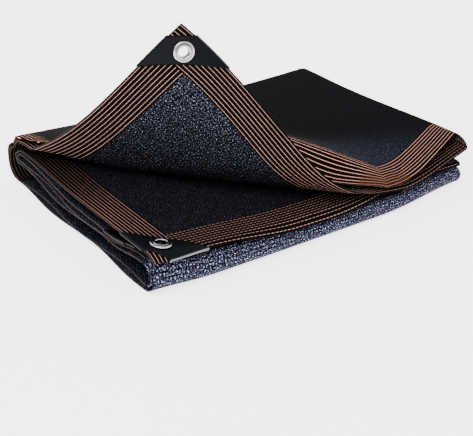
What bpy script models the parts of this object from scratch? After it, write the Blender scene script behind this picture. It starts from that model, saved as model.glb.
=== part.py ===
"""A folded shade cloth: a knitted net with a striped border, bound corner patches and
metal eyelets. It is folded in half from right to left, so its layers lie in pairs, and
the pairs are then folded front to back. The near left corner of one layer is lifted.

Frame: x runs from the free left edges to the folded right end, y from the front to the
back, z up from the surface that the pack lies on. All sizes are in metres."""
import math

import bmesh
import bpy
from mathutils import Matrix, Vector

# Driving dimensions of the folded pack
LENGTH = 0.365          # left edges to the fold at the right end
DEPTH = 0.266           # front to back
SHEET = 0.0012          # thickness of the knitted cloth
PITCH = 0.0038          # layer to layer, with the air between
CLEAR = 0.0003          # gap that touching pieces keep

# The corner patches and the eyelets
PATCH = 0.0008
PATCH_FROM = 0.016      # distance along an edge from the corner to the patch
PATCH_TO = 0.0545
EYELET_IN = 0.0186      # eyelet centre to each edge
EYELET_HOLE = 0.0050
EYELET_BARREL = 0.0056
EYELET_FLANGE = 0.0100
EYELET_METAL = 0.0008
EYELET_AIR = 0.0007     # patch to flange, because the cloth bends a little there

# The lifted corner: its bend line, its roll and how far it leans back
BEND_LEFT = 0.223       # y where the bend line leaves the left edge
BEND_FRONT = 0.257      # x where it leaves the front edge
ROLL_LEFT, ROLL_FRONT = 0.006, 0.0465
LEAN_LEFT, LEAN_FRONT = math.radians(43.3), math.radians(163.5)

# The top layer: its edge turns at a point and climbs behind the lifted corner
TURN_X, TURN_Y = 0.254, -0.027
TURN_BACK = 0.228
TURN_ROUND = 0.011      # how far the point itself is rounded off
TURN_GATHER = 0.060
TOP_RISE = 0.048
TOP_REACH = 0.120
EDGE_DROOP = 0.85       # share of the rise that its free edge lacks, near the turn
BACK_DROOP = 0.70       # and near the left side
DROOP_REACH = 0.030
LEFT_EDGE_SOFT = 0.003  # rounds the edge into the left side
TOP_SET_BACK = 0.039

# The inner free end, whose lower layer is set back from the upper one
INNER_EDGE = -0.012
OUTER_EDGE = 0.020
EDGE_SKEW = 0.008
EDGE_BOW = 0.007        # how far that end bows over the front
INNER_TURN_IN = 0.004
SWELL_TOP = 0.012       # rise of the layers' left edges under the lifted corner
SWELL_UPPER = 0.005
SWELL_X, SWELL_Y = 0.07, 0.055      # how wide that rise spreads

# The right end: the top pair rises there and its two layers part
END_FROM = 0.250
END_FRONT, END_BACK = 0.0135, 0.004
END_OPEN = 1.6
END_SHORT = 0.007       # the lower pairs end this much further in
BACK_REACH = 0.014      # how far the back turn reaches past the depth of the pairs

# Air inside the fold at the right end, what the left end has more, and how it fades
AIR_FRONT, AIR_FRONT_LEFT, AIR_FADE = 0.003, 0.016, 0.110
AIR_BACK, AIR_BACK_LEFT = 0.008, 0.009
AIR_DEPTH = 0.240       # y from which the back's air holds

# The face of the front turn: its y, and how far its two ends lie behind that
FACE_Y = -0.017
FACE_LEFT_BACK, FACE_LEFT_LENGTH = 0.005, 0.060
FACE_RIGHT_BACK = 0.013

# The front edge of the layer whose corner is lifted
LIFTED_EDGE_LEFT, LIFTED_EDGE_SLANT = -0.008, 0.010
LIFTED_EDGE_STEP, LIFTED_EDGE_BACK = 0.003, 0.015

# Near the left end the middle layers hang into the front turn's hollow
SAG = 0.009             # how far, where they hang most
SAG_ACROSS = 0.110      # x where they no longer hang
SAG_FROM = 0.006        # y where they start to hang
SAG_FULL = 0.065        # y from which they hang most
SAG_HOLD = 0.060        # for how long they do, before they rise to the back
SAG_FOLLOW = 0.8        # share of it by which the inner end's lower layer follows

# The hidden layers' left edges lie out of line in waves
EDGE_WAVE, EDGE_WAVES_PER_METRE = 0.0022, 41.0
HIDDEN_FROM, HIDDEN_FULL = 0.262, 0.320     # unrolled distances where they start
HIDDEN_FADE, HIDDEN_TO = 0.780, 0.840       # and where they end

# Origin: the middle of the pack's outline, on the surface that it lies on
MIDDLE_X, MIDDLE_Y = 0.1837, 0.1302

# Each stretch of the fold from the top free end to the inner one: its name, unrolled
# length, number of rows, and how much closer the rows are at its start or its end
STRETCHES = (
    ("top", 0.262, 16, 1.25, 1.0),
    ("back turn", 0.058, 6, 1.0, 1.0),
    ("bottom", 0.250, 5, 1.0, 1.0),
    ("front turn", 0.027, 6, 1.0, 1.0),
    ("middle", 0.235, 5, 1.0, 1.0),
    ("inner turn", 0.012, 4, 1.0, 1.0),
    ("upper", 0.250, 8, 1.0, 1.8),
)
CELLS_ACROSS = 13
CELLS_LOOP = 4
LOOP_REACH = 0.004
LEAF_SHARE, LOOP_SHARE = 0.95, 0.10     # columns of a leaf, and of the loop between
BOUND_CELLS = 0.080     # the cells are finer this near the lower bound corners
LOOP_CELLS = 0.100      # and this near the front of the slanted loop

PALETTE = {
    "knit": ((0.012, 0.012, 0.015, 1.0), 0.85, 0.0),
    "patch": ((0.008, 0.008, 0.010, 1.0), 0.55, 0.0),
    "nickel": ((0.62, 0.62, 0.60, 1.0), 0.28, 1.0),
}


def clamp(value, low=0.0, high=1.0):
    return min(max(value, low), high)


def ease(start, end, value):
    f = clamp((value - start) / (end - start))
    return f * f * (3.0 - 2.0 * f)


def slack(x, y):
    """Air inside the fold: most at the near left corner, little at the right end."""
    front = AIR_FRONT + AIR_FRONT_LEFT * math.exp(-x / AIR_FADE)
    back = AIR_BACK + AIR_BACK_LEFT * (1.0 - x / LENGTH)
    return front + (back - front) * ease(0.0, AIR_DEPTH, y)


def at_end(x):
    """How near the right end is, from 0 to 1."""
    return clamp((x - END_FROM) / (LENGTH - END_FROM)) ** 2


def at_front(y):
    return 1.0 - ease(0.0, 0.8 * DEPTH, y)


def level(pairs, x, y):
    """Height of the middle of the pair that has this many pairs below it."""
    air = slack(x, y) if pairs else 0.0
    rise = at_end(x) * (END_BACK + (END_FRONT - END_BACK) * at_front(y)) if pairs == 3 else 0.0
    return SHEET / 2 + (0.5 + 2.0 * pairs) * PITCH + air + rise


def front_turn(x):
    """Centre and radius of the front turn, whose face bows forward in the middle."""
    bow = FACE_Y + FACE_LEFT_BACK * (1.0 - ease(0.0, FACE_LEFT_LENGTH, x))
    bow += FACE_RIGHT_BACK * ease(END_FROM, LENGTH, x)
    low, high = level(0, x, 0.0), level(1, x, 0.0)
    radius = (high - low) / 2
    return bow + radius + PITCH / 2 + SHEET / 2, (low + high) / 2, radius


def back_turn(x):
    """Centre and radius of the outer turn at the back."""
    low, high = level(0, x, DEPTH), level(3, x, DEPTH)
    radius = (high - low) / 2
    return DEPTH + BACK_REACH - radius - PITCH / 2 - SHEET / 2, (low + high) / 2, radius


def hinge_swell(x, y):
    """The layers fan up where the lifted corner pulls on their left edges."""
    return math.exp(-((x / SWELL_X) ** 2 + ((y - BEND_LEFT) / SWELL_Y) ** 2))


def laid(x, y, pairs, up, swell):
    """A point on a layer that lies on the pack and wraps over the front shoulder."""
    centre_y, centre_z, _ = front_turn(x)
    if pairs == 3:
        up *= 1.0 + END_OPEN * at_end(x) * at_front(y)
    z = level(pairs, x, y) + up + swell * hinge_swell(x, y)
    if y >= centre_y:
        return Vector((x, y, z))
    arm = level(pairs, x, centre_y) - centre_z
    angle = (centre_y - y) / arm
    arm += up
    return Vector((x, centre_y - arm * math.sin(angle), centre_z + arm * math.cos(angle)))


def lifted_edge(x):
    """Unrolled y of the front edge of the layer whose corner is lifted."""
    edge = LIFTED_EDGE_LEFT - LIFTED_EDGE_SLANT * clamp(x / BEND_FRONT)
    edge -= LIFTED_EDGE_STEP * ease(END_FROM, END_FROM + 0.030, x)
    return edge + LIFTED_EDGE_BACK * ease(END_FROM + 0.020, LENGTH + 0.015, x)


def lifted_y(x, along):
    """Unrolled y of that layer at a share of the way from its front edge to its back."""
    return lifted_edge(x) + (back_turn(x)[0] - lifted_edge(x)) * along


def lifted(x, y):
    """The second layer, with its near left corner rolled up and leaning back."""
    left = Vector((0.0, BEND_LEFT))
    front = Vector((BEND_FRONT, lifted_edge(BEND_FRONT)))
    along = (front - left).normalized()
    outward = Vector((along.y, -along.x))
    offset = Vector((x, y)) - left
    reach = offset.dot(outward)
    if reach <= 0.0:
        return laid(x, y, 3, -PITCH / 2, SWELL_TOP)
    run = offset.dot(along)
    share = clamp(run / (front - left).length)
    roll = ROLL_LEFT + (ROLL_FRONT - ROLL_LEFT) * share
    lean = LEAN_LEFT + (LEAN_FRONT - LEAN_LEFT) * share
    turned = min(reach / roll, lean)
    flat = reach - roll * turned
    out = roll * math.sin(turned) + flat * math.cos(turned)
    up = roll * (1.0 - math.cos(turned)) + flat * math.sin(turned)
    foot = left + along * run
    point = laid(foot.x, foot.y, 3, -PITCH / 2, SWELL_TOP)
    return point + Vector((outward.x * out, outward.y * out, up))


def top_left(y):
    """x of the top layer's left edge, which runs back from its turn to the left side."""
    share = (TURN_BACK - y) / (TURN_BACK - TURN_Y)
    return TURN_X * 0.5 * (share + math.sqrt(share * share + LEFT_EDGE_SOFT))


def top_place(across, along):
    """x and unrolled y of the top layer at these shares of its width and depth."""
    edge = TURN_Y + (back_turn(TURN_X)[0] - TURN_Y) * along
    x = top_left(edge) + (LENGTH - top_left(edge)) * across
    y = edge + TOP_SET_BACK * clamp((x - TURN_X) / (LENGTH - TURN_X)) * (1.0 - along) ** 2
    return x, y + (back_turn(x)[0] - back_turn(TURN_X)[0]) * along


def top(across, along):
    """The top layer: a front arm, a left arm that climbs, and a plain field behind."""
    turn = Vector((TURN_X, TURN_Y))
    place = Vector(top_place(across, along))
    place.y += TURN_ROUND * clamp(1.0 - (place - turn).length / TURN_GATHER) ** 2
    arm = Vector((0.0, TURN_BACK)) - turn
    offset = place - turn
    share = clamp(offset.dot(arm) / arm.length_squared)
    away = abs(offset.x * arm.y - offset.y * arm.x) / arm.length
    rise = TOP_RISE * math.sin(math.pi * share) * (1.0 - ease(0.0, TOP_REACH, away))
    rise *= 1.0 - EDGE_DROOP * (1.0 - ease(0.0, DROOP_REACH, away)) * (1.0 - ease(0.15, 0.40, share))
    rise *= 1.0 - BACK_DROOP * ease(0.7, 1.0, share)
    return laid(place.x, place.y, 3, PITCH / 2, SWELL_TOP) + Vector((0.0, 0.0, rise))


def sag(x, y):
    """How far the middle pair hangs near the left end of the front."""
    back = ease(inner_turn_y(x), SAG_FULL + SAG_HOLD, y)
    return SAG * (1.0 - ease(0.0, SAG_ACROSS, x)) * ease(SAG_FROM, SAG_FULL, y) * back


def hung(x, y):
    """A point on the inner end's lower layer, which hangs with the middle pair."""
    point = laid(x, y, 2, -PITCH / 2, SWELL_UPPER)
    return point - Vector((0.0, 0.0, SAG_FOLLOW * sag(x, y)))


def inner_turn_y(x):
    return back_turn(x)[0] - INNER_TURN_IN


def upper_y(x, along, edge):
    """Unrolled y of the inner free end's layers, just under the lifted one."""
    edge += EDGE_SKEW * ease(0.2, LENGTH, x)
    edge -= EDGE_BOW * ease(0.06, 0.15, x) * ease(0.30, 0.18, x)
    return inner_turn_y(x) + (edge - inner_turn_y(x)) * along


def turned(x, centre, radius, offset, angle):
    """A point on a turn. The angle is 0 at its top and grows clockwise seen from +x."""
    arm = radius + offset
    return Vector((x, centre[0] + arm * math.sin(angle), centre[1] + arm * math.cos(angle)))


def stretch_at(v):
    """Name of the stretch at this unrolled distance, and the share of it passed."""
    for name, size, *_ in STRETCHES:
        if v <= size + 1e-9:
            return name, clamp(v / size)
        v -= size
    return STRETCHES[-1][0], 1.0


def uneven(v, side):
    """How far the hidden layers' left edges lie out of line."""
    hidden = ease(HIDDEN_FROM, HIDDEN_FULL, v) * (1.0 - ease(HIDDEN_FADE, HIDDEN_TO, v))
    return EDGE_WAVE * hidden * math.sin(EDGE_WAVES_PER_METRE * v + side)


def cloth_point(across, v, side):
    """A point on the middle of the cloth.

    across is 0 at the free left edge and 1 at the right end. side is 1 on the outer
    leaf, -1 on the inner one, and in between on the loop that joins them."""
    name, share = stretch_at(v)
    half = side * PITCH / 2
    loop = LOOP_REACH * math.sqrt(max(0.0, 1.0 - side * side))
    length = LENGTH - END_SHORT * ease(HIDDEN_FROM, HIDDEN_FULL, v)
    x = length * across + uneven(v, side) * (1.0 - across) ** 3
    if name == "top":
        inner_y = lifted_y(x, share)
        if side <= -1.0:
            point = lifted(x, inner_y)
        elif side >= 1.0:
            point = top(across, share)
        else:
            outer_y = top_place(across, share)[1]
            y = inner_y + (outer_y - inner_y) * (1.0 + side) / 2
            point = laid(x, y, 3, half, SWELL_TOP)
    elif name == "upper":
        inner_y, outer_y = upper_y(x, share, INNER_EDGE), upper_y(x, share, OUTER_EDGE)
        y = inner_y + (outer_y - inner_y) * (1.0 + side) / 2
        point = hung(x, y) if side >= 1.0 else laid(x, y, 2, -half, SWELL_UPPER)
    elif name == "back turn":
        y, z, radius = back_turn(x)
        point = turned(x, (y, z), radius, half, math.pi * share)
    elif name == "bottom":
        start, end = back_turn(x)[0], front_turn(x)[0]
        point = Vector((x, start + (end - start) * share, level(0, x, 0.0) - half))
    elif name == "front turn":
        y, z, radius = front_turn(x)
        point = turned(x, (y, z), radius, half, math.pi * (1.0 + share))
    elif name == "middle":
        start, end = front_turn(x)[0], inner_turn_y(x)
        y = start + (end - start) * share
        point = Vector((x, y, level(1, x, y) + half - sag(x, y)))
    else:
        y = inner_turn_y(x)
        z = (level(1, x, y) + level(2, x, y)) / 2
        point = turned(x, (y, z), PITCH, -half, math.pi * (1.0 - share))
    point.x += loop
    return point


def parameters(column, row):
    """Share across, unrolled distance and side of a point of the flat sheet.

    column runs from 0 to 2 over the outer leaf, the loop and the inner leaf, and row is
    the unrolled distance."""
    if column <= LEAF_SHARE:
        return column / LEAF_SHARE, row, 1.0
    if column >= 2.0 - LEAF_SHARE:
        return (2.0 - column) / LEAF_SHARE, row, -1.0
    return 1.0, row, math.cos(math.pi * (column - LEAF_SHARE) / LOOP_SHARE)


def stations():
    """Rows of the sheet: the unrolled distances at which it has an edge across."""
    rows, start = [0.0], 0.0
    for _, size, count, early, late in STRETCHES:
        for i in range(1, count + 1):
            rows.append(start + size * (1.0 - (1.0 - (i / count) ** early) ** late))
        start += size
    return rows


def columns():
    """Columns of the sheet, closer together near the free left edges."""
    leaf = [LEAF_SHARE * (i / CELLS_ACROSS) ** 1.15 for i in range(CELLS_ACROSS + 1)]
    loop = [LEAF_SHARE + LOOP_SHARE * i / CELLS_LOOP for i in range(1, CELLS_LOOP)]
    return leaf + loop + [2.0 - value for value in reversed(leaf)]


def material(name):
    colour, roughness, metallic = PALETTE[name]
    made = bpy.data.materials.new(name)
    made.use_nodes = True
    shader = made.node_tree.nodes["Principled BSDF"]
    shader.inputs["Base Color"].default_value = colour
    shader.inputs["Roughness"].default_value = roughness
    shader.inputs["Metallic"].default_value = metallic
    return made


def mesh_object(name, mesh, collection, finish=None):
    obj = bpy.data.objects.new(name, mesh)
    collection.objects.link(obj)
    if finish:
        mesh.materials.append(finish)
    return obj


def grid(columns_at, rows_at):
    """A flat grid in a bmesh, with a vertex at each column and row value."""
    bm = bmesh.new()
    wide, deep = len(columns_at) - 1, len(rows_at) - 1
    bmesh.ops.create_grid(bm, x_segments=wide, y_segments=deep, size=1.0)
    for vert in bm.verts:
        i = round((vert.co.x + 1.0) / 2.0 * wide)
        j = round((vert.co.y + 1.0) / 2.0 * deep)
        vert.co = (columns_at[i], rows_at[j], 0.0)
    return bm


def in_flap(point):
    """True where the flat sheet forms the lifted corner."""
    across, v, side = parameters(point.x, point.y)
    if side > -1.0 or v > STRETCHES[0][1]:
        return False
    x = LENGTH * across
    return x / BEND_FRONT + lifted_y(x, v / STRETCHES[0][1]) / BEND_LEFT < 1.06


def in_bound_end(point):
    """True where the flat sheet forms the two lower corners that have patches."""
    across, v, _ = parameters(point.x, point.y)
    unrolled = sum(stretch[1] for stretch in STRETCHES)
    return LENGTH * across < BOUND_CELLS and v > unrolled - BOUND_CELLS


def in_slanted_loop(point):
    """True near the front of the loop that joins the top layers' unequal edges."""
    _, v, side = parameters(point.x, point.y)
    return -1.0 < side < 1.0 and v < LOOP_CELLS


def cloth_sheet(collection):
    bm = grid(columns(), stations())
    for where, cuts in ((in_flap, 1), (in_bound_end, 2), (in_slanted_loop, 2)):
        chosen = [face for face in bm.faces if where(face.calc_center_median())]
        edges = list({edge for face in chosen for edge in face.edges})
        bmesh.ops.subdivide_edges(bm, edges=edges, cuts=cuts, use_grid_fill=True)
    for vert in bm.verts:
        vert.co = cloth_point(*parameters(vert.co.x, vert.co.y))
    bmesh.ops.recalc_face_normals(bm, faces=bm.faces)
    mesh = bpy.data.meshes.new("cloth")
    bm.to_mesh(mesh)
    bm.free()
    mesh.shade_smooth()
    cloth = mesh_object("cloth", mesh, collection, material("knit"))
    thick = cloth.modifiers.new("thickness", "SOLIDIFY")
    thick.thickness = SHEET
    thick.offset = 0.0
    return cloth


def corner_frames():
    """Each bound corner as a function of the distances along its two edges."""
    def on_lifted(a, b):
        return lifted(a, lifted_edge(a) + b)

    def on_near(a, b):
        return laid(a, b + INNER_EDGE, 2, PITCH / 2, SWELL_UPPER)

    def on_inner(a, b):
        return hung(a, b + OUTER_EDGE)

    return {"lifted": on_lifted, "near": on_near, "inner": on_inner}


def surface(corner, a, b):
    """Point, normal and the two edge directions of a corner's surface."""
    step = 0.0005
    point = corner(a, b)
    along_a = (corner(a + step, b) - corner(max(a - step, 0.0), b)).normalized()
    along_b = (corner(a, b + step) - corner(a, max(b - step, 0.0))).normalized()
    return point, along_a.cross(along_b).normalized(), along_a, along_b


def patch(name, corner, collection, finish):
    """A strip of smooth cloth wrapped round both edges of a corner."""
    across, wrap, count = 14, 3, 6
    gap = SHEET / 2 + CLEAR + PATCH / 2
    ring = 2 * across + 2 * wrap
    bm = grid(range(ring + 1), range(count + 1))
    for vert in bm.verts:
        step, k = vert.co.x % ring, vert.co.y
        reach = PATCH_FROM + (PATCH_TO - PATCH_FROM) * k / count
        if step <= across:
            share, angle, front = step / across, 0.0, False
        elif step < across + wrap:
            share, angle, front = 1.0, math.pi * (step - across) / wrap, False
        elif step <= 2 * across + wrap:
            share, angle, front = 1.0 - (step - across - wrap) / across, math.pi, False
        else:
            share, front = 0.0, True
            angle = math.pi * (1.0 - (step - 2 * across - wrap) / wrap)
        point, normal, along_a, along_b = surface(corner, reach * (1 - share), reach * share)
        out = -along_b if front else -along_a
        vert.co = point + gap * (normal * math.cos(angle) + out * math.sin(angle))
    bmesh.ops.remove_doubles(bm, verts=bm.verts, dist=0.00005)
    bmesh.ops.recalc_face_normals(bm, faces=bm.faces)
    mesh = bpy.data.meshes.new(name)
    bm.to_mesh(mesh)
    bm.free()
    mesh.shade_smooth()
    made = mesh_object(name, mesh, collection, finish)
    thick = made.modifiers.new("thickness", "SOLIDIFY")
    thick.thickness = PATCH
    thick.offset = 0.0
    return made


def placing(corner):
    """Matrix that stands +z on the surface at a corner's eyelet."""
    point, normal, along_a, _ = surface(corner, EYELET_IN, EYELET_IN)
    across = (along_a - normal * along_a.dot(normal)).normalized()
    turn = Matrix((across, normal.cross(across), normal)).transposed().to_4x4()
    return Matrix.Translation(point) @ turn


def eyelet(name, corner, collection, finish):
    """A flanged metal ring: its section is turned about the hole's axis."""
    under = SHEET / 2 + CLEAR + PATCH + EYELET_AIR
    over = under + EYELET_METAL
    section = (
        (EYELET_HOLE, over - 0.0003), (EYELET_HOLE + 0.0008, over),
        (EYELET_FLANGE - 0.0010, over), (EYELET_FLANGE, under + 0.0004),
        (EYELET_FLANGE, under), (EYELET_BARREL, under),
        (EYELET_BARREL, -under), (EYELET_FLANGE, -under),
        (EYELET_FLANGE, -under - 0.0004), (EYELET_FLANGE - 0.0010, -over),
        (EYELET_HOLE + 0.0008, -over), (EYELET_HOLE, 0.0003 - over),
    )
    bm = bmesh.new()
    verts = [bm.verts.new((radius, 0.0, z)) for radius, z in section]
    for i, vert in enumerate(verts):
        bm.edges.new((vert, verts[(i + 1) % len(verts)]))
    mesh = bpy.data.meshes.new(name)
    bm.to_mesh(mesh)
    bm.free()
    ring = mesh_object(name, mesh, collection, finish)
    ring.matrix_world = placing(corner)
    screw = ring.modifiers.new("turned", "SCREW")
    screw.axis = "Z"
    screw.angle = math.tau
    screw.steps = screw.render_steps = 24
    screw.use_merge_vertices = True
    screw.merge_threshold = 0.00005
    screw.use_normal_calculate = True
    return ring


def punch(corner, collection):
    """The tool that cuts the eyelet's hole through cloth and patch."""
    bm = bmesh.new()
    radius = EYELET_BARREL + CLEAR
    bmesh.ops.create_cone(bm, cap_ends=True, segments=24, radius1=radius,
                          radius2=radius, depth=0.0060)
    mesh = bpy.data.meshes.new("punch")
    bm.to_mesh(mesh)
    bm.free()
    tool = mesh_object("punch", mesh, collection)
    tool.matrix_world = placing(corner)
    tool.hide_render = True
    tool.display_type = "WIRE"
    return tool


def cut(obj, tool):
    hole = obj.modifiers.new("eyelet hole", "BOOLEAN")
    hole.operation = "DIFFERENCE"
    hole.object = tool


def build():
    for obj in list(bpy.data.objects):
        bpy.data.objects.remove(obj)
    parts = bpy.data.collections.new("folded_shade_cloth")
    tools = bpy.data.collections.new("cutters")
    bpy.context.scene.collection.children.link(parts)
    bpy.context.scene.collection.children.link(tools)
    cloth = cloth_sheet(parts)
    bound, metal = material("patch"), material("nickel")
    for name, corner in corner_frames().items():
        strip = patch("patch_" + name, corner, parts, bound)
        if name == "inner":
            continue
        tool = punch(corner, tools)
        cut(cloth, tool)
        cut(strip, tool)
        eyelet("eyelet_" + name, corner, parts, metal)
    shift = Matrix.Translation((-MIDDLE_X, -MIDDLE_Y, 0.0))
    for obj in (*parts.objects, *tools.objects):
        obj.matrix_world = shift @ obj.matrix_world


build()
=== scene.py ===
# %% [markdown]
# # A folded shade cloth
#
# A shade cloth is knitted from flat plastic tape yarn. Along its edges coloured yarns make
# a border of thin stripes, and each corner has a smooth patch with a metal eyelet. Here it
# is folded in half, then front to back, and one corner is lifted to show the underside.
#
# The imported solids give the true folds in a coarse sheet. This lesson makes a fine sheet on
# the same folds, and gives it yarn, stripes, patches and eyelets.

import math
from functools import partial

import bmesh
import bpy
from mathutils import Matrix, Vector


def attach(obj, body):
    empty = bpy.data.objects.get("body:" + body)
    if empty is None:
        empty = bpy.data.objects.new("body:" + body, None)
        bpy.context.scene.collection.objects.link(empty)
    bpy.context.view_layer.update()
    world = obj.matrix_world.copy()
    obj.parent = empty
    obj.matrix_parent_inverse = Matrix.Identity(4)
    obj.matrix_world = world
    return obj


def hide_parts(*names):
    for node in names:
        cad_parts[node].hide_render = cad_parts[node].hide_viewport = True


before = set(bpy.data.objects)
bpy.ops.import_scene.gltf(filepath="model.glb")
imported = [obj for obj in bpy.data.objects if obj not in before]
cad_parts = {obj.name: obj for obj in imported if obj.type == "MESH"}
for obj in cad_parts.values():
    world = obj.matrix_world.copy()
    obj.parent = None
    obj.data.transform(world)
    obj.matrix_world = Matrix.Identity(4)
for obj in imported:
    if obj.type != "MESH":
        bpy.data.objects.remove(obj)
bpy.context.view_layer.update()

# %% [markdown]
# ## Sizes
#
# Lengths are in metres, in a frame that is handy for a folded cloth: x runs from the free
# left edges to the fold at the right end, y from the front to the back, z up from the
# floor. `TO_FRAME` moves a finished point to the shared frame.

# %% Driving sizes of the folded cloth
LENGTH, DEPTH = 0.365, 0.266
SHEET, PITCH, CLEAR = 0.0012, 0.0038, 0.0003
TO_FRAME = Vector((-0.1837, -0.1302, 0.0))

BEND_LEFT, BEND_FRONT = 0.223, 0.257
ROLL_LEFT, ROLL_FRONT = 0.006, 0.0465
LEAN_LEFT, LEAN_FRONT = math.radians(43.3), math.radians(163.5)

TURN_X, TURN_Y, TURN_BACK = 0.254, -0.027, 0.228
TURN_ROUND, TURN_GATHER = 0.011, 0.060
EDGE_DROOP, BACK_DROOP = 0.85, 0.70
TOP_RISE, TOP_REACH, TOP_SET_BACK = 0.048, 0.120, 0.039
INNER_EDGE, OUTER_EDGE, EDGE_SKEW, EDGE_BOW, INNER_TURN_IN = -0.012, 0.020, 0.008, 0.007, 0.004
SWELL_TOP, SWELL_UPPER = 0.012, 0.005
END_FROM, END_FRONT, END_BACK, END_OPEN, END_SHORT = 0.250, 0.0135, 0.004, 1.6, 0.007
BACK_REACH = 0.014
SWELL_X, SWELL_Y = 0.07, 0.055
DROOP_REACH, LEFT_EDGE_SOFT = 0.030, 0.003
SAG, SAG_ACROSS = 0.009, 0.110
SAG_FROM, SAG_FULL, SAG_HOLD, SAG_FOLLOW = 0.006, 0.065, 0.060, 0.8

AIR_FRONT, AIR_FRONT_LEFT, AIR_FADE = 0.003, 0.016, 0.110
AIR_BACK, AIR_BACK_LEFT, AIR_DEPTH = 0.008, 0.009, 0.240
FACE_Y, FACE_LEFT_BACK, FACE_LEFT_LENGTH, FACE_RIGHT_BACK = -0.017, 0.005, 0.060, 0.013
LIFTED_EDGE_LEFT, LIFTED_EDGE_SLANT = -0.008, 0.010
LIFTED_EDGE_STEP, LIFTED_EDGE_BACK = 0.003, 0.015
EDGE_WAVE, EDGE_WAVES_PER_METRE = 0.0022, 41.0
HIDDEN_FROM, HIDDEN_FULL, HIDDEN_FADE, HIDDEN_TO = 0.262, 0.320, 0.780, 0.840

STRETCHES = (
    ("top", 0.262, 58),
    ("back turn", 0.058, 16),
    ("bottom", 0.250, 34),
    ("front turn", 0.027, 14),
    ("middle", 0.235, 32),
    ("inner turn", 0.012, 8),
    ("upper", 0.250, 52),
)
UNROLLED = sum(stretch[1] for stretch in STRETCHES)
CELLS_ACROSS, CELLS_LOOP = 66, 8
LEAF_SHARE, LOOP_SHARE = 0.95, 0.10
LOOP_REACH, LOOP_GIRTH, YARN_THICK = 0.004, 0.011, 0.0010
WIDTH = 2 * LENGTH + LOOP_GIRTH
print("unrolled cloth, in mm:", round(WIDTH * 1000), "by", round(UNROLLED * 1000))

# %% [markdown]
# ## How the pack lies
#
# Two small helpers limit and ease a number. Then `slack` says how much air the fold holds
# at a place, and `level` how high a pair of layers lies there. The front and back turns are
# half circles between two levels.

# %% Levels and turns
def clamp(value, low=0.0, high=1.0):
    return min(max(value, low), high)


def ease(start, end, value):
    f = clamp((value - start) / (end - start))
    return f * f * (3.0 - 2.0 * f)


def slack(x, y):
    """Air inside the fold: most at the near left corner, little at the right end."""
    front = AIR_FRONT + AIR_FRONT_LEFT * math.exp(-x / AIR_FADE)
    back = AIR_BACK + AIR_BACK_LEFT * (1.0 - x / LENGTH)
    return front + (back - front) * ease(0.0, AIR_DEPTH, y)


def at_end(x):
    """How near the right end is, where the top pair rises and its layers part."""
    return clamp((x - END_FROM) / (LENGTH - END_FROM)) ** 2


def at_front(y):
    return 1.0 - ease(0.0, 0.8 * DEPTH, y)


def level(pairs, x, y):
    """Height of the middle of the pair that has this many pairs below it."""
    air = slack(x, y) if pairs else 0.0
    rise = at_end(x) * (END_BACK + (END_FRONT - END_BACK) * at_front(y)) if pairs == 3 else 0.0
    return SHEET / 2 + (0.5 + 2.0 * pairs) * PITCH + air + rise


def front_turn(x):
    """Centre and radius of the front turn, whose face bows forward in the middle."""
    bow = FACE_Y + FACE_LEFT_BACK * (1.0 - ease(0.0, FACE_LEFT_LENGTH, x))
    bow += FACE_RIGHT_BACK * ease(END_FROM, LENGTH, x)
    low, high = level(0, x, 0.0), level(1, x, 0.0)
    radius = (high - low) / 2
    return bow + radius + PITCH / 2 + SHEET / 2, (low + high) / 2, radius


def back_turn(x):
    """Centre and radius of the outer turn at the back."""
    low, high = level(0, x, DEPTH), level(3, x, DEPTH)
    radius = (high - low) / 2
    return DEPTH + BACK_REACH - radius - PITCH / 2 - SHEET / 2, (low + high) / 2, radius


def hinge_swell(x, y):
    """The layers fan up where the lifted corner pulls on their left edges."""
    return math.exp(-((x / SWELL_X) ** 2 + ((y - BEND_LEFT) / SWELL_Y) ** 2))


def laid(x, y, pairs, up, swell):
    """A point on a layer that lies on the pack and wraps over the front shoulder."""
    centre_y, centre_z, _ = front_turn(x)
    if pairs == 3:
        up *= 1.0 + END_OPEN * at_end(x) * at_front(y)
    z = level(pairs, x, y) + up + swell * hinge_swell(x, y)
    if y >= centre_y:
        return Vector((x, y, z))
    arm = level(pairs, x, centre_y) - centre_z
    angle = (centre_y - y) / arm
    arm += up
    return Vector((x, centre_y - arm * math.sin(angle), centre_z + arm * math.cos(angle)))


print("front turn at the left end, radius in mm:", round(front_turn(0.0)[2] * 1000, 1))

# %% [markdown]
# ## The lifted corner
#
# Cloth bends easily one way and hardly stretches, so a lifted corner rolls about a straight
# bend line, like a page being turned. The roll is tight at the left and wide at the front,
# which leans the corner back.

# %% The layer whose corner is lifted
def lifted_edge(x):
    """Unrolled y of the front edge of the layer whose corner is lifted."""
    edge = LIFTED_EDGE_LEFT - LIFTED_EDGE_SLANT * clamp(x / BEND_FRONT)
    edge -= LIFTED_EDGE_STEP * ease(END_FROM, END_FROM + 0.030, x)
    return edge + LIFTED_EDGE_BACK * ease(END_FROM + 0.020, LENGTH + 0.015, x)


def lifted_y(x, along):
    return lifted_edge(x) + (back_turn(x)[0] - lifted_edge(x)) * along


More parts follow.
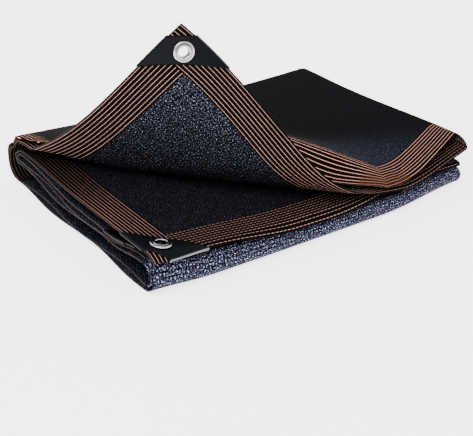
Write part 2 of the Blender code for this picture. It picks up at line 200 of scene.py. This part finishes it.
def lifted(x, y):
    """The second layer, with its near left corner rolled up and leaning back."""
    left = Vector((0.0, BEND_LEFT))
    front = Vector((BEND_FRONT, lifted_edge(BEND_FRONT)))
    along = (front - left).normalized()
    outward = Vector((along.y, -along.x))
    offset = Vector((x, y)) - left
    reach = offset.dot(outward)
    if reach <= 0.0:
        return laid(x, y, 3, -PITCH / 2, SWELL_TOP)
    run = offset.dot(along)
    share = clamp(run / (front - left).length)
    roll = ROLL_LEFT + (ROLL_FRONT - ROLL_LEFT) * share
    lean = LEAN_LEFT + (LEAN_FRONT - LEAN_LEFT) * share
    turned_by = min(reach / roll, lean)
    flat = reach - roll * turned_by
    out = roll * math.sin(turned_by) + flat * math.cos(turned_by)
    up = roll * (1.0 - math.cos(turned_by)) + flat * math.sin(turned_by)
    foot = left + along * run
    point = laid(foot.x, foot.y, 3, -PITCH / 2, SWELL_TOP)
    return point + Vector((outward.x * out, outward.y * out, up))


print("height of the lifted tip, in mm:", round(lifted(0.0, lifted_edge(0.0)).z * 1000))

# %% [markdown]
# ## The top layer
#
# The top layer's edge turns at a point near the front. One arm runs to the right end, the
# other climbs behind the lifted corner.

# %% The top layer and the inner free end
def top_left(y):
    """x of the top layer's left edge, which runs back from its turn to the left side."""
    share = (TURN_BACK - y) / (TURN_BACK - TURN_Y)
    return TURN_X * 0.5 * (share + math.sqrt(share * share + LEFT_EDGE_SOFT))


def top_place(across, along):
    """x and unrolled y of the top layer at these shares of its width and depth."""
    edge = TURN_Y + (back_turn(TURN_X)[0] - TURN_Y) * along
    x = top_left(edge) + (LENGTH - top_left(edge)) * across
    y = edge + TOP_SET_BACK * clamp((x - TURN_X) / (LENGTH - TURN_X)) * (1.0 - along) ** 2
    return x, y + (back_turn(x)[0] - back_turn(TURN_X)[0]) * along


def top(across, along):
    """The top layer: a front arm, a left arm that climbs, and a plain field behind."""
    turn = Vector((TURN_X, TURN_Y))
    place = Vector(top_place(across, along))
    place.y += TURN_ROUND * clamp(1.0 - (place - turn).length / TURN_GATHER) ** 2
    arm = Vector((0.0, TURN_BACK)) - turn
    offset = place - turn
    share = clamp(offset.dot(arm) / arm.length_squared)
    away = abs(offset.x * arm.y - offset.y * arm.x) / arm.length
    rise = TOP_RISE * math.sin(math.pi * share) * (1.0 - ease(0.0, TOP_REACH, away))
    rise *= 1.0 - EDGE_DROOP * (1.0 - ease(0.0, DROOP_REACH, away)) * (1.0 - ease(0.15, 0.40, share))
    rise *= 1.0 - BACK_DROOP * ease(0.7, 1.0, share)
    return laid(place.x, place.y, 3, PITCH / 2, SWELL_TOP) + Vector((0.0, 0.0, rise))


def sag(x, y):
    """How far the middle pair hangs near the left end of the front."""
    back = ease(inner_turn_y(x), SAG_FULL + SAG_HOLD, y)
    return SAG * (1.0 - ease(0.0, SAG_ACROSS, x)) * ease(SAG_FROM, SAG_FULL, y) * back


def hung(x, y):
    """A point on the inner end's lower layer, which hangs with the middle pair."""
    point = laid(x, y, 2, -PITCH / 2, SWELL_UPPER)
    return point - Vector((0.0, 0.0, SAG_FOLLOW * sag(x, y)))


def inner_turn_y(x):
    return back_turn(x)[0] - INNER_TURN_IN


def upper_y(x, along, edge):
    """Unrolled y of the inner free end's layers, just under the lifted one."""
    edge += EDGE_SKEW * ease(0.2, LENGTH, x)
    edge -= EDGE_BOW * ease(0.06, 0.15, x) * ease(0.30, 0.18, x)
    return inner_turn_y(x) + (edge - inner_turn_y(x)) * along


def turned(x, centre, radius, offset, angle):
    """A point on a turn. The angle is 0 at its top and grows clockwise seen from +x."""
    arm = radius + offset
    return Vector((x, centre[0] + arm * math.sin(angle), centre[1] + arm * math.cos(angle)))


print("the top layer's turn, in mm:", [round(c * 1000) for c in top(0.0, 0.0)])

# %% [markdown]
# ## From the flat cloth to the folded one
#
# One function takes a point of the flat cloth to its place. `across` is 0 at the free left
# edge and 1 at the right end, `v` is the unrolled distance from the top free end, and
# `side` is 1 on the outer leaf, -1 on the inner one and in between on the loop.

# %% The fold as one function
def stretch_at(v):
    """Name of the stretch at this unrolled distance, and the share of it passed."""
    for name, size, _ in STRETCHES:
        if v <= size + 1e-9:
            return name, clamp(v / size)
        v -= size
    return STRETCHES[-1][0], 1.0


def uneven(v, side):
    """How far the hidden layers' left edges lie out of line."""
    hidden = ease(HIDDEN_FROM, HIDDEN_FULL, v) * (1.0 - ease(HIDDEN_FADE, HIDDEN_TO, v))
    return EDGE_WAVE * hidden * math.sin(EDGE_WAVES_PER_METRE * v + side)


def cloth_point(across, v, side):
    name, share = stretch_at(v)
    half = side * PITCH / 2
    loop = LOOP_REACH * math.sqrt(max(0.0, 1.0 - side * side))
    length = LENGTH - END_SHORT * ease(HIDDEN_FROM, HIDDEN_FULL, v)
    x = length * across + uneven(v, side) * (1.0 - across) ** 3
    if name == "top":
        inner_y = lifted_y(x, share)
        if side <= -1.0:
            point = lifted(x, inner_y)
        elif side >= 1.0:
            point = top(across, share)
        else:
            outer_y = top_place(across, share)[1]
            y = inner_y + (outer_y - inner_y) * (1.0 + side) / 2
            point = laid(x, y, 3, half, SWELL_TOP)
    elif name == "upper":
        inner_y, outer_y = upper_y(x, share, INNER_EDGE), upper_y(x, share, OUTER_EDGE)
        y = inner_y + (outer_y - inner_y) * (1.0 + side) / 2
        point = hung(x, y) if side >= 1.0 else laid(x, y, 2, -half, SWELL_UPPER)
    elif name == "back turn":
        y, z, radius = back_turn(x)
        point = turned(x, (y, z), radius, half, math.pi * share)
    elif name == "bottom":
        start, end = back_turn(x)[0], front_turn(x)[0]
        point = Vector((x, start + (end - start) * share, level(0, x, 0.0) - half))
    elif name == "front turn":
        y, z, radius = front_turn(x)
        point = turned(x, (y, z), radius, half, math.pi * (1.0 + share))
    elif name == "middle":
        start, end = front_turn(x)[0], inner_turn_y(x)
        y = start + (end - start) * share
        point = Vector((x, y, level(1, x, y) + half - sag(x, y)))
    else:
        y = inner_turn_y(x)
        z = (level(1, x, y) + level(2, x, y)) / 2
        point = turned(x, (y, z), PITCH, -half, math.pi * (1.0 - share))
    point.x += loop
    return point + TO_FRAME


def parameters(column, row):
    """Share across, unrolled distance and side: column runs from 0 to 2, loop at 1."""
    if column <= LEAF_SHARE:
        return column / LEAF_SHARE, row, 1.0
    if column >= 2.0 - LEAF_SHARE:
        return (2.0 - column) / LEAF_SHARE, row, -1.0
    return 1.0, row, math.cos(math.pi * (column - LEAF_SHARE) / LOOP_SHARE)


print("near left corner of the third layer:", cloth_point(0.0, UNROLLED, -1.0))

# %% [markdown]
# ## What the yarn needs to know
#
# The stripes of a border run along the cloth's edges, so each point carries its distance to
# the nearest side edge and to the nearest end, in metres, as attributes. The knit follows a
# UV map in metres. `through` says which band runs on over a corner: the end's band at the
# lifted corner, the side's at the near one. The others are strengths from 0 to 1: `dashed`
# of the stripes; `dim`, which fades the stripes to near black, as painted shade between the
# layers and under the lifted corner, with plain knit instead where it is 1; `rich`,
# painted light that makes the stripes and the rust between them lighter on the top layer;
# `rows`, painted sheen on the columns of stitches; and `sparkle`, painted glints as
# bright specks. The pairs are distances in metres between which such a strength goes from
# 0 to 1.

# %% Distances for the border
NEAR_TURN, NEAR_TIP = (0.14, 0.05), (0.20, 0.06)
PAST_LEFT_LINES, SHORT_OF_CORNER = (0.014, 0.020), (0.080, 0.050)
DROOPING, LEFT_SHADE = (0.23, 0.27), (0.08, 0.18)


def on_top_layer(x, y):
    """Distances on the top layer, whose left edge runs slantwise to its turn."""
    def to_line(start, end):
        line = Vector(end) - Vector(start)
        offset = Vector((x, y)) - Vector(start)
        reach = clamp(offset.dot(line) / line.length_squared)
        return (offset - line * reach).length
    turn, back = (TURN_X, TURN_Y), (0.0, TURN_BACK)
    return min(to_line(turn, back), x), to_line(turn, (LENGTH, TURN_Y + TOP_SET_BACK))


def marks(across, v, side):
    """The attributes and the UV of a point of the flat cloth."""
    name, share = stretch_at(v)
    x = LENGTH * across
    made = {"to_side": x, "to_end": min(v, UNROLLED - v), "through": 0.0,
            "dashed": 0.15, "dim": 1.0, "rich": 0.0, "rows": 0.25, "sparkle": 0.25}
    round_loop = LOOP_GIRTH * math.acos(clamp(side, -1.0, 1.0)) / math.pi
    uv = (WIDTH - x if side <= -1.0 else x + round_loop, v)
    if name == "top" and side >= 1.0:
        uv = top_place(across, share)
        made["to_side"], made["to_end"] = on_top_layer(*uv)
        from_turn = math.hypot(uv[0] - TURN_X, uv[1] - TURN_Y)
        near_turn = ease(*NEAR_TURN, from_turn)
        # the top layer: painted light on its stripes; painted sheen and glints grow near its turn
        made.update(dim=ease(*PAST_LEFT_LINES, uv[0]) * ease(*SHORT_OF_CORNER, uv[0]), rich=1.0,
                    rows=0.02 + 0.42 * near_turn, sparkle=0.02 + 0.20 * near_turn)
    elif name == "top" and side <= -1.0:
        drooping = ease(*DROOPING, x)
        near_tip = ease(*NEAR_TIP, x + v)
        # under the lifted corner: painted sheen and glints grow near the tip; towards the drooping
        # end the stripes are dashed and painted darker, as shaded
        made.update(through=1.0, dashed=0.15 + 0.75 * drooping, dim=0.35 * drooping,
                    rows=0.06 + 0.20 * near_tip, sparkle=0.18 + 0.42 * near_tip)
    elif name == "top":
        made.update(dashed=0.9 - 0.75 * max(side, 0.0), dim=0.3, rows=0.3)
    elif name == "upper" and side <= -1.0:
        # the layer under the lifted corner: its stripes painted darker further back from its front
        # end, as shaded by the corner
        made.update(through=-1.0, dashed=1.0, dim=0.1 + 0.65 * ease(*LEFT_SHADE, UNROLLED - v),
                    rows=0.06, sparkle=0.12)
    elif name == "front turn":
        # the front turn: painted sheen and glints at their strongest
        made.update(to_side=1.0, rows=0.7, sparkle=1.0)
    elif name == "back turn":
        # the back turn: stripes painted darker, as shaded; painted sheen and glints grow onward from
        # the top
        onward = ease(0.0, 0.4, share)
        made.update(dim=0.75, rows=0.02 + 0.5 * onward, sparkle=0.03 + 0.5 * onward)
    return made, uv


print("marks at the lifted tip:", marks(0.0, 0.0, -1.0))

# %% [markdown]
# ## The sheet
#
# `create_grid` makes a flat grid whose rows and columns are gathered where the cloth turns.
# Each vertex then moves to its folded place. Around the eyelets the cells are finer, and
# the few under each flange are removed to open the hole.

# %% The eyelets' places on the flat cloth
EYELET_IN = 0.0186
FINE_NEAR_EYELET, OPEN_IN_CLOTH, OPEN_IN_PATCH = 0.014, 0.0072, 0.0075
CORNERS = {
    "lifted": lambda a, b: lifted(a, lifted_edge(a) + b),
    "near": lambda a, b: laid(a, b + INNER_EDGE, 2, PITCH / 2, SWELL_UPPER),
    "inner": lambda a, b: hung(a, b + OUTER_EDGE),
}
EYELET_AT = {"lifted": EYELET_IN, "near": UNROLLED - EYELET_IN}


def from_eyelet(column, row):
    """Distance on the flat cloth from the nearest eyelet's centre."""
    across, v, side = parameters(column, row)
    if side > -1.0:
        return 1.0
    return min(math.hypot(LENGTH * across - EYELET_IN, v - at) for at in EYELET_AT.values())


# %% The cloth
def stations():
    rows, start = [0.0], 0.0
    for _, size, count in STRETCHES:
        rows += [start + size * i / count for i in range(1, count + 1)]
        start += size
    return rows


def columns():
    leaf = [LEAF_SHARE * i / CELLS_ACROSS for i in range(CELLS_ACROSS + 1)]
    loop = [LEAF_SHARE + LOOP_SHARE * i / CELLS_LOOP for i in range(1, CELLS_LOOP)]
    return leaf + loop + [2.0 - value for value in reversed(leaf)]


def grid(columns_at, rows_at):
    """A flat grid in a bmesh, with a vertex at each column and row value."""
    bm = bmesh.new()
    wide, deep = len(columns_at) - 1, len(rows_at) - 1
    bmesh.ops.create_grid(bm, x_segments=wide, y_segments=deep, size=1.0)
    for vert in bm.verts:
        i = round((vert.co.x + 1.0) / 2.0 * wide)
        j = round((vert.co.y + 1.0) / 2.0 * deep)
        vert.co = (columns_at[i], rows_at[j], 0.0)
    return bm


def finish_mesh(bm, name):
    """Turns a bmesh into a smooth object of that name."""
    mesh = bpy.data.meshes.new(name)
    bm.to_mesh(mesh)
    bm.free()
    mesh.shade_smooth()
    obj = bpy.data.objects.new(name, mesh)
    bpy.context.scene.collection.objects.link(obj)
    return obj


def thicken(obj, thickness):
    thick = obj.modifiers.new("thickness", "SOLIDIFY")
    thick.thickness = thickness
    thick.offset = 0.0
    thick.use_quality_normals = True


def make_cloth():
    bm = grid(columns(), stations())
    near = [f for f in bm.faces if from_eyelet(*f.calc_center_median().xy) < FINE_NEAR_EYELET]
    edges = list({edge for face in near for edge in face.edges})
    bmesh.ops.subdivide_edges(bm, edges=edges, cuts=3, use_grid_fill=True)
    open_faces = [f for f in bm.faces
                  if from_eyelet(*f.calc_center_median().xy) < OPEN_IN_CLOTH]
    bmesh.ops.delete(bm, geom=open_faces, context="FACES")
    uv = bm.loops.layers.uv.new("flat")
    layers = {name: bm.verts.layers.float.new(name) for name in marks(0.0, 0.0, 1.0)[0]}
    for vert in bm.verts:
        place = parameters(*vert.co.xy)
        values, vert_uv = marks(*place)
        for name, value in values.items():
            vert[layers[name]] = value
        for loop in vert.link_loops:
            loop[uv].uv = vert_uv
        vert.co = cloth_point(*place)
    bmesh.ops.recalc_face_normals(bm, faces=bm.faces)
    obj = finish_mesh(bm, "shade_cloth")
    thicken(obj, YARN_THICK)
    return obj


cloth = make_cloth()
print("cloth vertices:", len(cloth.data.vertices))

# %% [markdown]
# ## The corner patches
#
# A patch is a strip of smooth coated cloth wrapped round both edges of a corner, so its
# outline is a band across the corner. It starts as a grid that is closed into a ring. Its
# attribute `painted_edge_highlight` is 1 on the edge that wraps the front: a painted
# highlight, a pale line where that rounded edge catches the light.

# %% Patches
PATCH, PATCH_FROM, PATCH_TO = 0.0008, 0.016, 0.0545


def surface(corner, a, b):
    """Point, normal and the two edge directions of a corner's surface."""
    step = 0.0005
    point = corner(a, b)
    along_a = (corner(a + step, b) - corner(max(a - step, 0.0), b)).normalized()
    along_b = (corner(a, b + step) - corner(a, max(b - step, 0.0))).normalized()
    return point, along_a.cross(along_b).normalized(), along_a, along_b


def make_patch(name, corner):
    across, wrap, count = 44, 5, 24
    gap = SHEET / 2 + CLEAR / 2 + PATCH / 2
    ring = 2 * (across + wrap)
    bm = grid(range(ring + 1), range(count + 1))
    uv = bm.loops.layers.uv.new("flat")
    painted_edge_highlight = bm.verts.layers.float.new("painted_edge_highlight")
    hole = []
    for face in bm.faces:
        step, k = face.calc_center_median().xy
        if across < step < across + wrap or step > 2 * across + wrap:
            continue
        share = step / across if step < across else 1.0 - (step - across - wrap) / across
        reach = PATCH_FROM + (PATCH_TO - PATCH_FROM) * k / count
        if math.hypot(reach * (1 - share) - EYELET_IN, reach * share - EYELET_IN) < OPEN_IN_PATCH:
            hole.append(face)
    if name != "inner":
        bmesh.ops.delete(bm, geom=hole, context="FACES")
    for vert in bm.verts:
        step, k = vert.co.x % ring, vert.co.y
        reach = PATCH_FROM + (PATCH_TO - PATCH_FROM) * k / count
        for loop in vert.link_loops:
            loop[uv].uv = (vert.co.x / ring * 0.2, reach)
        if step <= across:
            share, angle, front = step / across, 0.0, False
        elif step < across + wrap:
            share, angle, front = 1.0, math.pi * (step - across) / wrap, False
        elif step <= 2 * across + wrap:
            share, angle, front = 1.0 - (step - across - wrap) / across, math.pi, False
        else:
            share, front = 0.0, True
            angle = math.pi * (1.0 - (step - 2 * across - wrap) / wrap)
        point, normal, along_a, along_b = surface(corner, reach * (1 - share), reach * share)
        out = -along_b if front else -along_a
        # painted highlight along the edge that wraps the front
        vert[painted_edge_highlight] = math.sin(angle) if front else 0.0
        vert.co = point + gap * (normal * math.cos(angle) + out * math.sin(angle)) + TO_FRAME
    bmesh.ops.remove_doubles(bm, verts=bm.verts, dist=0.00005)
    bmesh.ops.recalc_face_normals(bm, faces=bm.faces)
    obj = finish_mesh(bm, "corner_patch_" + name)
    thicken(obj, PATCH)
    return obj


patches = {name: make_patch(name, corner) for name, corner in CORNERS.items()}
print("patches:", sorted(patches))

# %% [markdown]
# ## The eyelets
#
# An eyelet is a turned metal shape: a barrel through the cloth with a flange rolled over on
# each side. Its section is spun about the hole's axis. Its attribute `inside` is 1 on the
# barrel's wall and less in the groove between lip and flange: painted shade, where little
# light gets in.

# %% Eyelets
EYELET_HOLE, EYELET_BARREL, EYELET_FLANGE = 0.0050, 0.0056, 0.0100
EYELET_METAL, EYELET_AIR = 0.0008, 0.0007
GROOVE_FROM, GROOVE_TO, GROOVE_SHADE = 0.0068, 0.0080, 0.8


def placing(corner):
    """Matrix that stands +z on the surface at a corner's eyelet."""
    point, normal, along_a, _ = surface(corner, EYELET_IN, EYELET_IN)
    across = (along_a - normal * along_a.dot(normal)).normalized()
    turn = Matrix((across, normal.cross(across), normal)).transposed().to_4x4()
    return Matrix.Translation(point + TO_FRAME) @ turn


def flange(height, outward):
    """Half the section: from the hole's wall over the rolled lip to the flange's rim."""
    lip = 0.0011
    arc = [math.radians(angle) for angle in range(0, 151, 30)]
    roll = [(EYELET_HOLE + lip - lip * math.cos(a), height + 0.6 * lip * math.sin(a)) for a in arc]
    dish = [(0.0076, height + 0.0002), (0.0088, height + 0.0003), (0.0096, height),
            (EYELET_FLANGE, height - 0.0004), (EYELET_FLANGE, height - 0.0008)]
    return [(radius, outward * z) for radius, z in roll + dish]


def make_eyelet(name, corner):
    over = SHEET / 2 + CLEAR + PATCH + EYELET_AIR + EYELET_METAL
    barrel = EYELET_BARREL
    section = flange(over, 1) + [(barrel, over - EYELET_METAL), (barrel, EYELET_METAL - over)]
    section += list(reversed(flange(over, -1)))
    bm = bmesh.new()
    verts = [bm.verts.new((radius, 0.0, z)) for radius, z in section]
    edges = [bm.edges.new((v, verts[(i + 1) % len(verts)])) for i, v in enumerate(verts)]
    bmesh.ops.spin(bm, geom=verts + edges, cent=(0, 0, 0), axis=(0, 0, 1),
                   angle=math.tau, steps=72, use_merge=True)
    bmesh.ops.recalc_face_normals(bm, faces=bm.faces)
    inside = bm.verts.layers.float.new("inside")
    for vert in bm.verts:
        radius = vert.co.xy.length
        groove = GROOVE_SHADE if GROOVE_FROM < radius < GROOVE_TO else 0.0
        # painted shade on the barrel's wall and in the groove
        vert[inside] = 1.0 if radius < barrel and abs(vert.co.z) < over else groove
    bm.transform(placing(corner))
    obj = finish_mesh(bm, "eyelet_" + name + "_ring")
    obj.data.set_sharp_from_angle(angle=math.radians(50))
    return obj


eyelets = {name: make_eyelet(name, CORNERS[name]) for name in ("lifted", "near")}
print("eyelets:", sorted(eyelets))

# %% [markdown]
# ## Materials
#
# Hex colours as a paint chart gives them are turned to the linear values that shaders use.
# `add` makes one node, with its settings and its links.

# %% Colour and node helpers
def linear(hex_colour):
    """An sRGB hex colour as linear red, green, blue and alpha."""
    parts = [int(hex_colour[i:i + 2], 16) / 255 for i in (1, 3, 5)]
    made = [c / 12.92 if c <= 0.04045 else ((c + 0.055) / 1.055) ** 2.4 for c in parts]
    return (*made, 1.0)


def add(tree, kind, inputs=(), output=0, **settings):
    """Makes a node and returns an output. Inputs are values or outputs, in order or by name."""
    node = tree.nodes.new("ShaderNode" + kind)
    for name, value in settings.items():
        setattr(node, name, value)
    for key, value in inputs.items() if isinstance(inputs, dict) else enumerate(inputs):
        if isinstance(value, bpy.types.NodeSocket):
            tree.links.new(value, node.inputs[key])
        else:
            node.inputs[key].default_value = value
    return node.outputs[output]


def new_material(name):
    """A material with its shader and a shorthand that adds nodes to it."""
    made = bpy.data.materials.new(name)
    made.use_nodes = True
    return made, made.node_tree.nodes["Principled BSDF"], partial(add, made.node_tree)


print("salmon yarn, linear:", [round(c, 3) for c in linear("#f2b4a0")[:3]])

# %% [markdown]
# ### Knitted tape yarn
#
# The ground is black polyethylene tape, warp knitted: zigzag columns of stitches, 3.2 mm
# apart, with a bluish painted sheen on the columns and painted glints, bright specks where
# the flat tape turns and shines. The border adds thin salmon yarns 3.7 mm apart on rust and
# brown ones, painted lighter on the top layer. The threads stand out by bump.

# %% Knit with its striped border
WALE, COURSE = 0.0032, 0.0030
STRIPE_PITCH, BAND, DASH = 0.0037, 0.0335, 0.0044


def knit_material():
    made, shader, n = new_material("knitted_polyethylene_tape")
    uv = n("UVMap", uv_map="flat")
    u, v = n("SeparateXYZ", [uv]), n("SeparateXYZ", [uv], output=1)
    mark = {name: n("Attribute", output="Fac", attribute_name=name) for name in marks(0, 0, 1)[0]}

    # zigzag columns of stitches
    sway = n("Math", [n("Math", [v, COURSE], operation="DIVIDE"), 1.0], operation="PINGPONG")
    shifted = n("Math", [sway, 0.45, n("Math", [u, WALE], operation="DIVIDE")],
                operation="MULTIPLY_ADD")
    ridge = n("Math", [n("Math", [shifted, 1.0], operation="MODULO"), 0.5], operation="SUBTRACT")
    ridge = n("MapRange", [n("Math", [ridge], operation="ABSOLUTE"), 0.06, 0.34, 1.0, 0.0])
    loop = n("Math", [n("Math", [v, math.tau / COURSE], operation="MULTIPLY")], operation="SINE")
    stitch = n("Math", [ridge, n("MapRange", [loop, -0.6, 0.5, 0.05, 1.0])], operation="MULTIPLY")

    # painted glints, bright specks where the flat tape turns to the light, and painted sheen on the
    # stitch columns
    grain = n("TexNoise", {"Vector": uv, "Scale": 980.0, "Detail": 1.0})
    glint_spot = n("MapRange", [grain, 0.59, 0.65, 0.0, 1.0])
    glint_spot = n("Math", [glint_spot, n("MapRange", [stitch, 0.0, 1.0, 0.25, 1.0])], operation="MULTIPLY")
    # painted sheen lightens the stitch columns to a bluish grey, by region; the specks are painted
    # glints
    rows = n("Math", [stitch, mark["rows"]], operation="MULTIPLY")
    sparkle = n("Math", [glint_spot, mark["sparkle"]], operation="MULTIPLY")
    ground = n("MixRGB", [rows, linear("#030304"), linear("#30345a")])
    ground = n("MixRGB", [sparkle, ground, linear("#dcdeff")])

    # the border: which edge's stripes run here, and how far this point is from a stripe
    side, end = mark["to_side"], mark["to_end"]
    nearest = n("Math", [side, end], operation="MINIMUM")
    in_side = n("Math", [side, BAND], operation="LESS_THAN")
    in_end = n("Math", [end, BAND], operation="LESS_THAN")
    end_wins = n("Math", [in_end, n("Math", [mark["through"], 0.5], operation="GREATER_THAN")],
                 operation="MULTIPLY")
    side_wins = n("Math", [in_side, n("Math", [mark["through"], -0.5], operation="LESS_THAN")],
                  operation="MULTIPLY")
    distance = n("MapRange", [end_wins, 0.0, 1.0, nearest, end])
    distance = n("MapRange", [side_wins, 0.0, 1.0, distance, side])
    inside = n("Math", [distance, BAND], operation="LESS_THAN")
    striped = n("Math", [mark["dim"], 0.98], operation="LESS_THAN")
    inside = n("Math", [inside, striped], operation="MULTIPLY")
    along_end = n("Math", [distance, end, 0.00001], operation="COMPARE")
    phase = n("Math", [distance, STRIPE_PITCH], operation="DIVIDE")
    phase = n("Math", [phase, 1.0], operation="MODULO")
    off = n("Math", [n("Math", [phase, 0.5], operation="SUBTRACT")], operation="ABSOLUTE")
    line = n("MapRange", [off, 0.01, 0.085, 1.0, 0.0])
    rust = n("MapRange", [off, 0.07, 0.24, 1.0, 0.0])

    # dashes where the salmon yarn dips under, and painted shade that fades the stripes to near black
    dash = n("Math", [n("Math", [u, math.pi / DASH], operation="MULTIPLY")], operation="SINE")
    gap = n("MapRange", [n("Math", [dash], operation="ABSOLUTE"), 0.30, 0.65, 1.0, 0.0])
    broken = n("Math", [n("Math", [mark["dashed"], along_end], operation="MULTIPLY"), gap],
               operation="MULTIPLY")
    keep = n("Math", [n("MapRange", [broken, 0.0, 1.0, 1.0, 0.0]),
                      n("MapRange", [mark["dim"], 0.0, 1.0, 1.0, 0.0])], operation="MULTIPLY")
    # the same yarns in two shades: painted light makes them lighter on the top layer, darker
    # elsewhere
    between = n("MixRGB", [mark["rich"], linear("#140604"), linear("#340e08")])
    border = n("MixRGB", [n("Math", [rust, keep], operation="MULTIPLY"), linear("#040202"), between])
    salmon = n("MixRGB", [mark["rich"], linear("#c4978a"), linear("#f2b4a0")])
    border = n("MixRGB", [n("Math", [line, keep], operation="MULTIPLY"), border, salmon])
    colour = n("MixRGB", [inside, ground, border])

    # crossing yarns make an orange speckle below the turn, and a cut edge is pale
    both = n("Math", [in_side, in_end], operation="MULTIPLY")
    ragged = n("Math", [n("TexNoise", {"Vector": uv, "Scale": 150.0}), 0.016, nearest],
               operation="MULTIPLY_ADD")
    both = n("Math", [both, n("MapRange", [ragged, 0.008, 0.032, 0.60, 0.0])], operation="MULTIPLY")
    both = n("Math", [both, mark["rich"]], operation="MULTIPLY")
    tangle = n("Math", [both, n("MapRange", [grain, 0.50, 0.60, 0.0, 0.8])], operation="MULTIPLY")
    colour = n("MixRGB", [both, colour, linear("#120603")])
    colour = n("MixRGB", [tangle, colour, linear("#74462c")])
    cut = n("Math", [n("Math", [side, 0.0006], operation="LESS_THAN"), 0.35], operation="MULTIPLY")
    colour = n("MixRGB", [cut, colour, linear("#54463a")])

    height = n("Math", [n("Math", [line, inside], operation="MULTIPLY"), stitch], operation="ADD")
    bump = n("Bump", {"Strength": 0.5, "Distance": 0.0006, "Height": height})
    made.node_tree.links.new(colour, shader.inputs["Base Color"])
    made.node_tree.links.new(bump, shader.inputs["Normal"])
    shader.inputs["Roughness"].default_value = 0.80
    shader.inputs["Specular IOR Level"].default_value = 0.03
    return made


knit = knit_material()
print("knit nodes:", len(knit.node_tree.nodes))

# %% [markdown]
# ### Coated patch cloth and nickel plate
#
# The patches are calendered vinyl on cloth: smooth, satin black, with a faint pebble and a
# painted highlight on the edge that wraps the front. The eyelets are stamped steel, nickel
# plated: bright, with fine turning marks and painted shade inside the barrel and in the groove.

# %% Patch and eyelet finishes
def patch_material():
    made, shader, n = new_material("calendered_vinyl")
    place = n("TexCoord", output="Object")
    pebble = n("TexNoise", {"Vector": place, "Scale": 900.0, "Detail": 3.0})
    cloud = n("TexNoise", {"Vector": place, "Scale": 60.0, "Detail": 2.0})
    colour = n("MixRGB", [cloud, linear("#020306"), linear("#04060a")])
    # painted highlight: a pale line along the edge that wraps the front
    painted_edge_highlight = n("Attribute", output="Fac", attribute_name="painted_edge_highlight")
    colour = n("MixRGB", [painted_edge_highlight, colour, linear("#77787d")])
    bump = n("Bump", {"Strength": 0.2, "Distance": 0.0003, "Height": pebble})
    made.node_tree.links.new(colour, shader.inputs["Base Color"])
    made.node_tree.links.new(bump, shader.inputs["Normal"])
    shader.inputs["Roughness"].default_value = 0.42
    shader.inputs["Specular IOR Level"].default_value = 0.07
    return made


def nickel_material():
    made, shader, n = new_material("nickel_plated_steel")
    place = n("TexCoord", output="Object")
    turning = n("TexNoise", {"Vector": place, "Scale": 700.0, "Detail": 3.0})
    colour = n("MixRGB", [turning, linear("#8e8f92"), linear("#c9c9c8")])
    # painted shade: darker metal inside the barrel and in the groove
    shade = n("Attribute", output="Fac", attribute_name="inside")
    colour = n("MixRGB", [shade, colour, linear("#2c2c2f")])
    made.node_tree.links.new(colour, shader.inputs["Base Color"])
    shader.inputs["Metallic"].default_value = 1.0
    shader.inputs["Roughness"].default_value = 0.16
    return made


vinyl, nickel = patch_material(), nickel_material()
print("finishes:", knit.name, vinyl.name, nickel.name)

# %% [markdown]
# ## Putting it together
#
# Every piece rides on the pack's one body, takes its finish, and hides the imported solid
# that it stands for.

# %% Assemble
def fit(obj, finish, node):
    obj.data.materials.append(finish)
    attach(obj, "root")
    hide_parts(node)


fit(cloth, knit, "cloth")
for name, obj in patches.items():
    fit(obj, vinyl, "patch_" + name)
for name, obj in eyelets.items():
    fit(obj, nickel, "eyelet_" + name)

# %% [markdown]
# ## The studio
#
# The pack lies on a sheet of opal acrylic lit from below, as on a light table, which reads
# as plain near white. The world is pale, with one large soft key from the upper left, a fill
# from the right and a weaker light from behind.

# %% Floor, lights and camera
def make_floor():
    bm = bmesh.new()
    bmesh.ops.create_grid(bm, x_segments=1, y_segments=1, size=6.0)
    obj = finish_mesh(bm, "floor")
    made, shader, _ = new_material("opal_acrylic")
    shader.inputs["Base Color"].default_value = linear("#fafafa")
    shader.inputs["Roughness"].default_value = 0.9
    shader.inputs["Emission Color"].default_value = linear("#ffffff")
    shader.inputs["Emission Strength"].default_value = 2.4
    obj.data.materials.append(made)
    return obj


def area_light(name, place, target, size, power):
    light = bpy.data.lights.new(name, "AREA")
    light.size, light.energy = size, power
    obj = bpy.data.objects.new(name, light)
    obj.location = place
    obj.rotation_euler = (Vector(target) - Vector(place)).to_track_quat("-Z", "Y").to_euler()
    bpy.context.scene.collection.objects.link(obj)


floor = make_floor()
area_light("key", (-0.9, -0.6, 1.5), (0, 0, 0.05), 1.6, 46.0)
area_light("fill", (1.3, -1.2, 0.9), (0, 0, 0.05), 1.4, 12.0)
area_light("back", (0.4, 1.5, 1.2), (0, 0, 0.05), 1.2, 12.0)

world = bpy.data.worlds.new("studio")
bpy.context.scene.world = world
world.use_nodes = True
world.node_tree.nodes["Background"].inputs[0].default_value = linear("#ffffff")
world.node_tree.nodes["Background"].inputs[1].default_value = 1.3

CAMERA_PLACE = Vector((-0.60438, -0.89681, 0.53438))
AZIMUTH, ELEVATION, ROLL = (math.radians(a) for a in (33.798, 28.062, -1.091))
LENS = 90.45
lens = bpy.data.cameras.new("camera")
lens.lens, lens.sensor_width = LENS, 36.0
camera = bpy.data.objects.new("camera", lens)
bpy.context.scene.collection.objects.link(camera)
look = Vector((math.sin(AZIMUTH) * math.cos(ELEVATION), math.cos(AZIMUTH) * math.cos(ELEVATION),
               -math.sin(ELEVATION)))
facing = look.to_track_quat("-Z", "Y").to_matrix().to_4x4()
camera.matrix_world = Matrix.Translation(CAMERA_PLACE) @ facing @ Matrix.Rotation(ROLL, 4, "Z")
bpy.context.scene.camera = camera
print("camera at", [round(c, 3) for c in camera.location])
